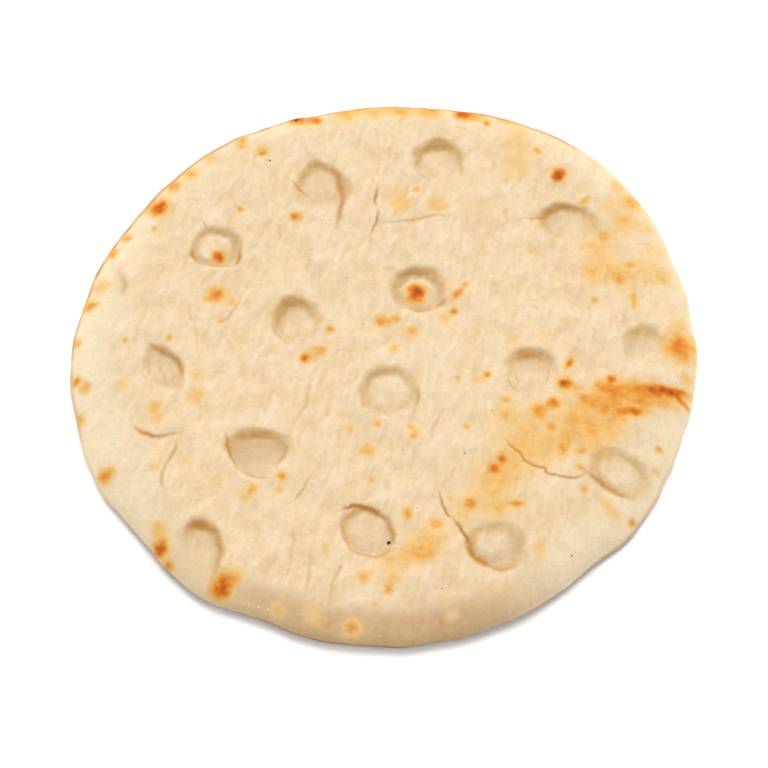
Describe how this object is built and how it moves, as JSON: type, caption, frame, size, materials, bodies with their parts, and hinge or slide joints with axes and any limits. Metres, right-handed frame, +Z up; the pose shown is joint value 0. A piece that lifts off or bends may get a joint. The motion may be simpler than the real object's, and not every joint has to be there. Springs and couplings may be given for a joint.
{
  "type": "pita bread",
  "caption": "Whole round flat bread with a soft rounded rim and docked dimples, baked pale with toasted spots, lying flat.",
  "frame": {"origin": "middle of the bread's footprint, on the surface it lies on", "axes": "+Z up through the bread, +X to the right and +Y away, as seen from the side with the plainest rim"},
  "size_m": [0.1802, 0.1788, 0.0079],
  "materials": {
    "crust": "matte"
  },
  "bodies": {
    "root": {"pita_bread": "crust"}
  },
  "joints": []
}
